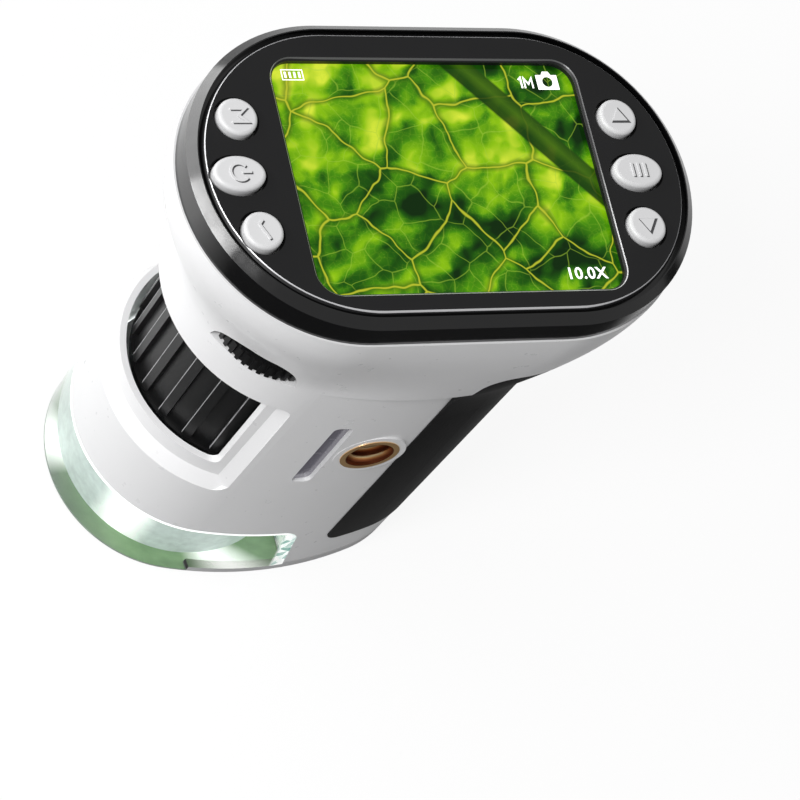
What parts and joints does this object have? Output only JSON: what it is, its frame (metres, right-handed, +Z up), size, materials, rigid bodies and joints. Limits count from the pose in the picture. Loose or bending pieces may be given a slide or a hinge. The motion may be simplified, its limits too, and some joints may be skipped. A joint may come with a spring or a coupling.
{
  "type": "handheld digital microscope",
  "caption": "Handheld digital microscope standing upright: oval head with a screen and keys on top, ribbed focus wheel, thumbwheel dimmer, rubber grip and a clear lighting hood.",
  "frame": {"origin": "on the table under the middle of the head, in the plane of the base", "axes": "+Z up towards the screen, -X towards the lens and focus wheel, -Y the side with the tripod socket"},
  "size_m": [0.0684, 0.0426, 0.0821],
  "materials": {
    "dark_plate": "dark satin with bright diamond-cut edges",
    "gloss_black": "piano-black gloss",
    "screen": "lit display under clear glass",
    "frosted_tray": "frosted light guide",
    "switch_metal": "pressed steel switch cans",
    "circuit_board": "green solder mask",
    "chip_black": "moulded epoxy",
    "white_shell": "smooth white satin",
    "port_steel": "drawn steel",
    "wheel_black": "satin black",
    "lens_black": "matt black against stray light",
    "lens_glass": "coated optical glass",
    "ribbon": "amber film",
    "grip_rubber": "soft matt black",
    "thread_brass": "turned brass, dark in the threads",
    "smoky_window": "smoky translucent",
    "grey_cap": "pale grey satin",
    "clear_plastic": "polished clear plastic",
    "white_inner": "plain white",
    "lamp": "lit white lamps",
    "cell_wrap": "blue shrink wrap",
    "screw_steel": "zinc plated",
    "key_grey": "light grey with embossed signs"
  },
  "bodies": {
    "housing": {"face_plate": "dark_plate", "bezel": "gloss_black", "lcd_panel": "screen", "lcd_backlight": "frosted_tray", "key_switches": "switch_metal", "main_board": "circuit_board", "board_chips": "chip_black", "head_shell": "white_shell", "usb_port": "port_steel", "card_socket": "port_steel", "dimmer_pot": "chip_black", "guide_tube": "lens_black", "wheel_clip": "port_steel", "sensor_board": "circuit_board", "camera_ribbon": "ribbon", "image_sensor": "chip_black", "body_shell": "white_shell", "grip_pad": "grip_rubber", "tripod_insert": "thread_brass", "status_window": "smoky_window", "base_cap": "grey_cap", "clear_hood": "clear_plastic", "led_holder": "white_inner", "led_board": "white_inner", "leds": "lamp", "battery_cell": "cell_wrap", "battery_cradle": "white_inner", "head_screws": "screw_steel", "board_screws": "screw_steel", "tube_screws": "screw_steel", "base_screws": "screw_steel"},
    "focus_ring": {"focus_wheel": "wheel_black"},
    "lens_carriage": {"lens_carrier": "lens_black", "cam_pin": "port_steel", "objective_lens": "lens_glass", "relay_lens": "lens_glass", "lens_retainer": "lens_black"},
    "dimmer": {"dimmer_wheel": "wheel_black", "dimmer_shaft": "port_steel"},
    "key_mode_button": {"key_mode": "key_grey"},
    "key_power_button": {"key_power": "key_grey"},
    "key_ok_button": {"key_ok": "key_grey"},
    "key_up_button": {"key_up": "key_grey"},
    "key_menu_button": {"key_menu": "key_grey"},
    "key_down_button": {"key_down": "key_grey"}
  },
  "joints": [
    {"name": "focus_turn", "type": "hinge", "parent": "housing", "child": "focus_ring", "pos_m": [-0.0091, 0, 0.04], "axis": [0, 0, 1], "range_deg": [-135, 135]},
    {"name": "lens_slide", "type": "slide", "parent": "housing", "child": "lens_carriage", "axis": [0, 0, 1], "range_m": [-0.0046, 0.0046]},
    {"name": "dimmer_turn", "type": "hinge", "parent": "housing", "child": "dimmer", "pos_m": [-0.0158, -0.00802, 0.0588], "axis": [0, 0, 1], "range_deg": [-135, 135]},
    {"name": "key_mode_press", "type": "slide", "parent": "housing", "child": "key_mode_button", "axis": [0, 0, -1], "range_m": [0, 0.0005], "stiffness_N_per_m": 300},
    {"name": "key_power_press", "type": "slide", "parent": "housing", "child": "key_power_button", "axis": [0, 0, -1], "range_m": [0, 0.0005], "stiffness_N_per_m": 300},
    {"name": "key_ok_press", "type": "slide", "parent": "housing", "child": "key_ok_button", "axis": [0, 0, -1], "range_m": [0, 0.0005], "stiffness_N_per_m": 300},
    {"name": "key_up_press", "type": "slide", "parent": "housing", "child": "key_up_button", "axis": [0, 0, -1], "range_m": [0, 0.0005], "stiffness_N_per_m": 300},
    {"name": "key_menu_press", "type": "slide", "parent": "housing", "child": "key_menu_button", "axis": [0, 0, -1], "range_m": [0, 0.0005], "stiffness_N_per_m": 300},
    {"name": "key_down_press", "type": "slide", "parent": "housing", "child": "key_down_button", "axis": [0, 0, -1], "range_m": [0, 0.0005], "stiffness_N_per_m": 300}
  ],
  "couplings": [
    {"joint": "lens_slide", "follows": "focus_turn", "m_per_rad": -0.0019099}
  ]
}
